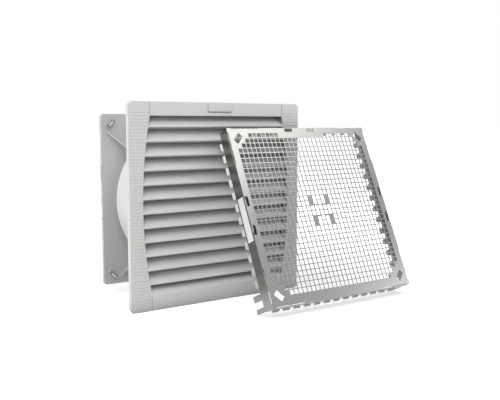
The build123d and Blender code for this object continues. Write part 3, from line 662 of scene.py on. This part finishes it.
def is_hole(column, row):
    """Whether a hole is there: within its row's reach and off the top gap and the bars."""
    reach = abs(column)
    if reach > row_reach(row):
        return False
    if row == 0 and reach <= TOP_GAP_COLUMNS:
        return False
    return not (reach == BAR_COLUMN and any(row in pair for pair in BAR_ROWS))


def hole_height(column, row):
    """Bottom and top of a hole. Those beside the middle column join in pairs at the bars."""
    half = (HOLE_PITCH - HOLE_WEB) / 2
    z = FIELD_CENTRE + (LAST_ROW / 2 - row) * HOLE_PITCH
    low, high = z - half, z + half
    upper, lower = BAR_ROWS
    if abs(column) == BAR_COLUMN - 1:
        if row in (upper[0], lower[0]):
            low -= HOLE_WEB / 2
        if row in (upper[1], lower[1]):
            high += HOLE_WEB / 2
        if row == upper[1]:
            low += THICK_WEB - HOLE_WEB
        if row == lower[0]:
            high -= THICK_WEB - HOLE_WEB
    return low, high


def hole_spans():
    """Each hole as (x0, x1, z0, z1) in the tray's frame."""
    half = (HOLE_PITCH - HOLE_WEB) / 2
    return [
        (column * HOLE_PITCH - half, column * HOLE_PITCH + half, *hole_height(column, row))
        for row in range(LAST_ROW + 1)
        for column in range(-SIDE_COLUMNS, SIDE_COLUMNS + 1)
        if is_hole(column, row)
    ]


def in_field(x, z):
    """Whether a point lies in the field with its stepped corners."""
    half_field = (SIDE_COLUMNS + 0.5) * HOLE_PITCH
    from_side = (half_field - abs(x)) / HOLE_PITCH
    from_end = (half_field - abs(z - FIELD_CENTRE)) / HOLE_PITCH
    return math.floor(from_side) + math.floor(from_end) >= CORNER_STEPS


def cut_lines(spans):
    """Every X and every Z at which a hole or a step of the field ends."""
    half_field = (SIDE_COLUMNS + 0.5) * HOLE_PITCH
    across, up = set(), set()
    for x0, x1, z0, z1 in spans:
        across |= {round(x0, 8), round(x1, 8)}
        up |= {round(z0, 8), round(z1, 8)}
    for cut in range(CORNER_STEPS + 1):
        for side in (-1, 1):
            edge = side * (half_field - cut * HOLE_PITCH)
            across.add(round(edge, 8))
            up.add(round(FIELD_CENTRE + edge, 8))
    return sorted(across), sorted(up)


def solid_cells(spans, across, up):
    """The cells between the cut lines that are sheet, as (column, row) numbers."""
    middles_x = [(a + b) / 2 for a, b in zip(across, across[1:])]
    middles_z = [(a + b) / 2 for a, b in zip(up, up[1:])]
    cells = {(i, j) for i, x in enumerate(middles_x) for j, z in enumerate(middles_z) if in_field(x, z)}
    for x0, x1, z0, z1 in spans:
        inside_x = [i for i, x in enumerate(middles_x) if x0 < x < x1]
        inside_z = [j for j, z in enumerate(middles_z) if z0 < z < z1]
        cells -= {(i, j) for i in inside_x for j in inside_z}
    return cells


def punched_face():
    """The sheet between the tray's borders, with every square hole cut through."""
    spans = hole_spans()
    across, up = cut_lines(spans)
    solid = solid_cells(spans, across, up)
    sheet = bmesh.new()
    corners = {}

    def corner(i, j, depth):
        key = (i, j, depth)
        if key not in corners:
            corners[key] = sheet.verts.new((across[i], depth, up[j]))
        return corners[key]

    for i, j in sorted(solid):
        ring = ((i, j), (i + 1, j), (i + 1, j + 1), (i, j + 1))
        beside = ((i, j - 1), (i + 1, j), (i, j + 1), (i - 1, j))
        sheet.faces.new([corner(a, b, 0.0) for a, b in ring])
        sheet.faces.new([corner(a, b, SHEET) for a, b in reversed(ring)])
        for neighbour, start, end in zip(beside, ring, ring[1:] + ring[:1]):
            if neighbour not in solid:
                wall = [corner(*end, 0.0), corner(*start, 0.0), corner(*start, SHEET), corner(*end, SHEET)]
                sheet.faces.new(wall)
    bmesh.ops.transform(sheet, matrix=tray_place(), verts=sheet.verts)
    layers = ("mesh_front", "mesh_rear")
    return piece("punched_face", sheet, shield_steel, "shield", layers, FACE_SMOOTH)


def finger_line(steps=7):
    """The fingers' inner surface as (depth, height) points: flat, out over a round crest and back."""
    line = [(FINGER_BASE, SHEET), (FINGER_BEND, SHEET)]
    for start, end, low, high in (
        (FINGER_BEND, FINGER_PEAK, SHEET, -FINGER_PROUD),
        (FINGER_PEAK, FINGER_END, -FINGER_PROUD, FINGER_SHEET),
    ):
        for step in range(1, steps + 1):
            t = step / steps
            ease = (1 - math.cos(math.pi * t)) / 2
            line.append((start + (end - start) * t, low + (high - low) * ease))
    return line


def add_bent_strip(mesh, line, left, right, narrowed=0.0):
    """A thin strip along a line of (depth, height) points, narrowing like a leaf to its free end."""
    sections = []
    for number, (depth, height) in enumerate(line):
        inset = narrowed * (number / (len(line) - 1)) ** 2
        ends = (left + inset, right - inset)
        low = [mesh.verts.new((x, depth, height)) for x in ends]
        high = [mesh.verts.new((x, depth, height + FINGER_SHEET)) for x in ends]
        sections.append((low[0], low[1], high[1], high[0]))
    skin(mesh, sections)


def contact_fingers(side, quarter_turns, first, last):
    """One strip: a flat back under the flange's inside and a sprung finger for each pitch."""
    strip = bmesh.new()
    line = finger_line()
    outside = FINGER_WIDTH / 2
    add_bent_strip(strip, line[:2], first * FINGER_PITCH - outside, last * FINGER_PITCH + outside)
    for number in range(first, last + 1):
        middle = number * FINGER_PITCH
        add_bent_strip(strip, line[1:], middle - outside, middle + outside, FINGER_TAPER)
    half = TRAY_SIZE / 2
    turn = (
        Matrix.Translation((0, 0, half))
        @ Matrix.Rotation(quarter_turns * math.pi / 2, 4, "Y")
        @ Matrix.Translation((0, 0, -half))
    )
    bmesh.ops.transform(strip, matrix=tray_place() @ turn, verts=strip.verts)
    name = f"contact_strip_{side}"
    return piece(f"fingers_{side}", strip, finger_steel, "shield", (name,), 50)


punched_face()
contact_fingers("bottom", 0, -LAST_FINGER, LAST_FINGER)
contact_fingers("top", 2, -LAST_FINGER, LAST_FINGER)
contact_fingers("left", 1, -LAST_FINGER, LAST_FINGER - 1)
contact_fingers("right", -1, 1 - LAST_FINGER, LAST_FINGER)


# Soft parts of the housing


def mat_point(u, v, side, middle, half):
    """A point of the mat's front or back, by its place across and up from -1 to 1."""
    edge = max(0.0, (max(abs(u), abs(v)) - 1 + MAT_FOLD) / MAT_FOLD)
    place = Vector((middle.x + u * half.x, 0, middle.z + v * half.z))
    tuft = 0.5 + 0.5 * perlin.noise(place * TUFT_SCALE + Vector((0, side * TUFT_SHIFT, 0)))
    fine = 0.5 + 0.5 * perlin.noise(place * FIBRE_SCALE + Vector((0, side * FIBRE_SHIFT, 0)))
    depth = half.y * math.sqrt(1 - MAT_PRESSED * edge**2) - TUFT_HEIGHT * tuft - FIBRE_HEIGHT * fine
    place.y = middle.y + side * depth
    return place


def filter_mat():
    """A fleece pad with pressed-in edges and a tufted surface."""
    low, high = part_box("filter_mat")
    middle, half = (low + high) / 2, (high - low) / 2
    shares = [2 * number / MAT_CELLS - 1 for number in range(MAT_CELLS + 1)]
    pad = bmesh.new()
    front, back = [
        [[pad.verts.new(mat_point(u, v, side, middle, half)) for v in shares] for u in shares]
        for side in (-1, 1)
    ]
    walls(pad, front)
    walls(pad, back)
    for end in (0, -1):
        walls(pad, (front[end], back[end]))
        walls(pad, ([row[end] for row in front], [row[end] for row in back]))
    made = piece("filter_fleece", pad, mat_fibre, "housing", ("filter_mat",), 70)
    return made


def gasket_place(corner, reach):
    """A corner of the ring's route at a reach from the middle. Its gap keeps its own width."""
    x, z = corner
    return Vector((x if abs(x) < 1 else x * reach, 0, z * reach))


def panel_gasket():
    """A rounded foam ring in its groove, open at the top for the latch."""
    low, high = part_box("panel_gasket")
    corners = [(0, low.y), (GASKET_WIDTH, low.y), (GASKET_WIDTH, high.y), (0, high.y)]
    section = eased(corners, [GASKET_ROUNDING * (high.y - low.y)] * 4, steps=4)
    route = [(GASKET_GAP, 1), (1, 1), (1, -1), (-1, -1), (-1, 1), (-GASKET_GAP, 1)]
    stations = [
        (start, end, step / GASKET_STATIONS)
        for start, end in zip(route, route[1:])
        for step in range(GASKET_STATIONS)
    ]
    stations.append((route[-2], route[-1], 1.0))
    foam_ring = bmesh.new()
    rings = []
    for start, end, share in stations:
        verts = []
        for inset, y in section:
            reach = high.x - inset
            place = gasket_place(start, reach) * (1 - share) + gasket_place(end, reach) * share
            swell = GASKET_SWELL * perlin.noise(place * GASKET_SWELL_SCALE)
            place.y = y + swell if low.y + MM < y < high.y - abs(swell) else y
            verts.append(foam_ring.verts.new(place))
        rings.append(verts)
    skin(foam_ring, rings)
    made = piece("gasket_ring", foam_ring, gasket_foam, "housing", ("panel_gasket",), 60)
    return made


filter_mat()
panel_gasket()


# Duct, rotor and guard


def air_duct():
    """The moulded duct: a drum with a rounded shoulder and a neck, and eight screw ears.

    Each ear is built by itself. When one ear was copied with bmesh.ops.duplicate, the order
    of the duct's faces changed from run to run.
    """
    low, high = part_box("air_duct")
    drum = high.x
    outline = eased(
        [
            (drum - DUCT_WALL, low.y),
            (drum, low.y),
            (drum, DRUM_BACK),
            (NECK_RADIUS, DRUM_BACK),
            (NECK_RADIUS, high.y),
            (NECK_RADIUS - DUCT_WALL, high.y),
            (NECK_RADIUS - DUCT_WALL, DRUM_BACK - DUCT_WALL),
            (drum - DUCT_WALL, DRUM_BACK - DUCT_WALL),
        ],
        [
            RIM_ROUND,
            RIM_ROUND,
            DRUM_ROUND,
            NECK_ROUND_OUTSIDE,
            RIM_ROUND,
            RIM_ROUND,
            NECK_ROUND_INSIDE,
            DRUM_ROUND - DUCT_WALL,
        ],
    )
    duct = bmesh.new()
    lathe(duct, outline, DUCT_STEPS)
    for seat, reach, front in (
        (drum, FRONT_EAR_REACH, low.y),
        (NECK_RADIUS, BACK_EAR_REACH, high.y - EAR_THICKNESS),
    ):
        low_corner = (seat - DUCT_WALL / 2, front, -EAR_HALF)
        high_corner = (seat + reach, front + EAR_THICKNESS, EAR_HALF)
        for number in range(EAR_COUNT):
            ear = add_box(duct, low_corner, high_corner, EAR_ROUND)
            turn = Matrix.Rotation(EAR_TURN + 2 * math.pi * number / EAR_COUNT, 4, "Y")
            bmesh.ops.transform(duct, matrix=turn, verts=ear)
    return piece("duct_shell", duct, duct_plastic, "housing", ("air_duct",))


def rotor_cup():
    """The motor's turning cup, with a rounded front and a rolled rim."""
    low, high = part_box("rotor_can")
    outline = eased(
        [
            (0, low.y),
            (high.x, low.y),
            (high.x, high.y),
            (high.x - CAN_WALL, high.y),
            (high.x - CAN_WALL, low.y + CAN_WALL),
            (0, low.y + CAN_WALL),
        ],
        [0, CAN_ROUND, CAN_RIM_ROUND, CAN_RIM_ROUND, CAN_ROUND - CAN_WALL, 0],
    )
    cup = bmesh.new()
    lathe(cup, outline, CAN_STEPS)
    return piece("rotor_cup", cup, rotor_black, "rotor", ("rotor_can",))


def vane_point(radius, share, side):
    """A point on a vane's front or back, by radius and share of the chord."""
    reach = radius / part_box("impeller_blades")[1].z
    low = -VANE_ROOT_HALF + (VANE_TIP_LOW + VANE_ROOT_HALF) * reach
    high = VANE_ROOT_HALF + (VANE_TIP_HIGH - VANE_ROOT_HALF) * reach
    along = low + (high - low) * share
    bow = VANE_BOW * (1 - (along / VANE_TIP_HIGH) ** 2)
    thick = VANE_THICKNESS * math.sqrt(max(0.0, math.sin(math.pi * share))) / 2
    back = -(bow + side * thick)
    y = back * math.cos(VANE_ANGLE) + along * math.sin(VANE_ANGLE)
    z = -back * math.sin(VANE_ANGLE) + along * math.cos(VANE_ANGLE)
    return Vector((math.sqrt(radius**2 - z**2), VANE_MIDDLE + y, z))


def impeller():
    """Five moulded vanes with thin edges, rooted in the cup."""
    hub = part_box("rotor_can")[1].x - CAN_WALL / 2
    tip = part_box("impeller_blades")[1].z
    vanes = bmesh.new()
    outer = []
    for side in (1, -1):
        rows = [
            [
                vanes.verts.new(vane_point(hub + (tip - hub) * i / VANE_SPANS, j / VANE_CHORDS, side))
                for j in range(VANE_CHORDS + 1)
            ]
            for i in range(VANE_SPANS + 1)
        ]
        outer.append(rows)
        walls(vanes, rows)
    for end in (0, -1):
        walls(vanes, (outer[0][end], outer[1][end]))
    bmesh.ops.remove_doubles(vanes, verts=vanes.verts, dist=MERGE)
    turned_copies(vanes, VANE_COUNT)
    return piece("fan_vanes", vanes, rotor_black, "rotor", ("impeller_blades",), 50)


def guard_rings():
    """Round wire rings welded to the support's arms."""
    low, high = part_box("finger_guard")
    step = (high.z - GUARD_DISC) / GUARD_COUNT
    rings = bmesh.new()
    middle = (low.y + high.y) / 2
    for number in range(GUARD_COUNT):
        radius = GUARD_DISC + step * (number + 1) - GUARD_WIRE
        section = [
            (
                radius + GUARD_WIRE * math.cos(2 * math.pi * k / GUARD_SIDES),
                middle + GUARD_WIRE * math.sin(2 * math.pi * k / GUARD_SIDES),
            )
            for k in range(GUARD_SIDES)
        ]
        lathe(rings, section, GUARD_STEPS)
    return piece("guard_wires", rings, support_coat, "housing", ("finger_guard",))


air_duct()
rotor_cup()
impeller()
guard_rings()


# Screws and the latch's spring


def quarter_turned(point, turns):
    """A point of the plane turned about the middle by quarter turns."""
    a, b = point
    for _ in range(turns):
        a, b = -b, a
    return a, b


def cross_outline(reach, half):
    """The outline of a cross recess, once round."""
    arm = ((reach, half), (half, half), (half, reach))
    return [quarter_turned(point, turns) for turns in range(4) for point in arm]


def add_screw_head(mesh, place, radius, height):
    """A pan head on a seat facing +Y, with a cross recess."""
    x0, y0, z0 = place
    rings = [
        [
            mesh.verts.new(
                (
                    x0 + radius * share * math.cos(2 * math.pi * k / HEAD_SIDES),
                    y0 + height * rise,
                    z0 + radius * share * math.sin(2 * math.pi * k / HEAD_SIDES),
                )
            )
            for k in range(HEAD_SIDES)
        ]
        for share, rise in HEAD_OUTLINE
    ]
    walls(mesh, rings, closed=True)
    mesh.faces.new(rings[0])
    top = y0 + height
    floor = top - height * RECESS_DEPTH
    outline = cross_outline(radius * RECESS_REACH, radius * RECESS_HALF)
    upper = [mesh.verts.new((x0 + a, top, z0 + b)) for a, b in outline]
    lower = [
        mesh.verts.new((x0 + a * RECESS_TAPER, floor, z0 + b * RECESS_TAPER)) for a, b in outline
    ]
    walls(mesh, (upper, lower), closed=True)
    mesh.faces.new(lower)
    loops = []
    for ring in (rings[-1], upper):
        loops += [mesh.edges.get((ring[k - 1], ring[k])) for k in range(len(ring))]
    bmesh.ops.triangle_fill(mesh, use_beauty=True, edges=loops)


def screws(name, stands_for, places, radius, height):
    """One piece with a screw head at each place."""
    heads = bmesh.new()
    for place in places:
        add_screw_head(heads, place, radius, height)
    return piece(name, heads, screw_steel, "housing", (stands_for,), 35)


def diagonal_places(distance, y):
    """Four places on the diagonals about the shaft."""
    reach = distance / math.sqrt(2)
    return [(a * reach, y, b * reach) for a in (-1, 1) for b in (-1, 1)]


def all_screws():
    """The heads of the duct's, the guard's and the terminals' screws."""
    for name, carrier, distance, radius in (
        ("duct_screw_heads", "duct_screws", DUCT_SCREW_PLACE, DUCT_SCREW_HEAD),
        ("guard_screw_heads", "guard_screws", GUARD_SCREW_PLACE, GUARD_SCREW_HEAD),
    ):
        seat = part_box(carrier)[1].y - SCREW_HEAD_HEIGHT
        screws(name, carrier, diagonal_places(distance, seat), radius, SCREW_HEAD_HEIGHT)
    low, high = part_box("terminal_screws")
    middle = (low + high) / 2
    places = [(middle.x + offset * TERMINAL_PITCH, low.y, middle.z) for offset in (-1, 0, 1)]
    screws("terminal_screw_heads", "terminal_screws", places, TERMINAL_SCREW_HEAD, high.y - low.y)


def latch_spring():
    """The latch's torsion spring: a close coil round its pin."""
    low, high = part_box("latch_spring")
    middle = (low + high) / 2
    radius = (high.z - low.z) / 2 - SPRING_WIRE
    steps = SPRING_TURNS * SPRING_STEPS
    line = []
    for step in range(steps + 1):
        angle = 2 * math.pi * step / SPRING_STEPS
        x = low.x + SPRING_WIRE + (high.x - low.x - 2 * SPRING_WIRE) * step / steps
        line.append(Vector((x, middle.y + radius * math.cos(angle), middle.z + radius * math.sin(angle))))
    coil = bmesh.new()
    tube_along(coil, line, SPRING_WIRE, SPRING_SIDES)
    return piece("latch_coil", coil, spring_steel, "cover", ("latch_spring",), 60)


all_screws()
latch_spring()


# Studio


def seen_by_eye_or_gloss(tree):
    """1 for camera, glossy and transmission rays, else 0."""
    path = tree.nodes.new("ShaderNodeLightPath")
    first = tree.nodes.new("ShaderNodeMath")
    second = tree.nodes.new("ShaderNodeMath")
    first.operation = second.operation = "MAXIMUM"
    tree.links.new(path.outputs["Is Camera Ray"], first.inputs[0])
    tree.links.new(path.outputs["Is Glossy Ray"], first.inputs[1])
    tree.links.new(first.outputs[0], second.inputs[0])
    tree.links.new(path.outputs["Is Transmission Ray"], second.inputs[1])
    return second.outputs[0]


def studio_floor():
    """A pale floor that the camera sees as white apart from the object's shadow."""
    bpy.ops.mesh.primitive_plane_add(size=FLOOR_SIZE, location=(*FLOOR_MIDDLE, FLOOR_Z))
    floor = bpy.context.object
    floor.name = "studio_floor"
    material = bpy.data.materials.new("studio_floor")
    material.use_nodes = True
    tree = material.node_tree
    tree.nodes.clear()
    out = node(material, "ShaderNodeOutputMaterial")
    diffuse = node(material, "ShaderNodeBsdfDiffuse", Color=(FLOOR_GREY, FLOOR_GREY, FLOOR_GREY, 1))
    glow = node(material, "ShaderNodeEmission", Color=(1, 1, 1, 1))
    place = node(material, "ShaderNodeTexCoord")
    away = node(material, "ShaderNodeVectorMath", operation="LENGTH")
    rise = node(material, "ShaderNodeMapRange", interpolation_type="SMOOTHSTEP")
    rise.inputs["From Min"].default_value = GLOW_START
    rise.inputs["From Max"].default_value = GLOW_END
    rise.inputs["To Min"].default_value = FLOOR_GLOW_NEAR
    rise.inputs["To Max"].default_value = FLOOR_GLOW_FAR
    link(material, place.outputs["Object"], away.inputs[0])
    link(material, away.outputs["Value"], rise.inputs["Value"])
    share = node(material, "ShaderNodeMath", operation="MULTIPLY")
    link(material, rise.outputs["Result"], share.inputs[1])
    total = node(material, "ShaderNodeAddShader")
    link(material, seen_by_eye_or_gloss(tree), share.inputs[0])
    link(material, share.outputs[0], glow.inputs["Strength"])
    link(material, diffuse.outputs[0], total.inputs[0])
    link(material, glow.outputs[0], total.inputs[1])
    link(material, total.outputs[0], out.inputs["Surface"])
    floor.data.materials.append(material)


def studio_world():
    """White to the camera and in reflections, a softer level as light."""
    world = bpy.data.worlds.new("studio")
    bpy.context.scene.world = world
    world.use_nodes = True
    tree = world.node_tree
    background = tree.nodes["Background"]
    background.inputs["Color"].default_value = (1, 1, 1, 1)
    level = tree.nodes.new("ShaderNodeMapRange")
    level.inputs["To Min"].default_value = WORLD_LIGHT
    level.inputs["To Max"].default_value = 1.0
    tree.links.new(seen_by_eye_or_gloss(tree), level.inputs["Value"])
    tree.links.new(level.outputs["Result"], background.inputs["Strength"])


def area_light(name, place, target, size, power):
    """A square lamp that faces its target."""
    data = bpy.data.lights.new(name, "AREA")
    data.shape = "SQUARE"
    data.size = size
    data.energy = power
    lamp = bpy.data.objects.new(name, data)
    lamp.location = place
    lamp.rotation_euler = (Vector(target) - Vector(place)).to_track_quat("-Z", "Y").to_euler()
    bpy.context.scene.collection.objects.link(lamp)


def camera():
    """The photo's viewing angle, level from side to side."""
    data = bpy.data.cameras.new("camera")
    data.lens = CAMERA_LENS
    data.sensor_width = CAMERA_SENSOR
    view = bpy.data.objects.new("camera", data)
    view.location = CAMERA_PLACE
    view.rotation_euler = (math.pi / 2 - CAMERA_DOWN, 0, -CAMERA_YAW)
    bpy.context.scene.collection.objects.link(view)
    bpy.context.scene.camera = view


studio_floor()
studio_world()
for lamp_name, settings in LAMPS.items():
    area_light(lamp_name, *settings)
camera()
bpy.context.scene.view_settings.view_transform = "Standard"
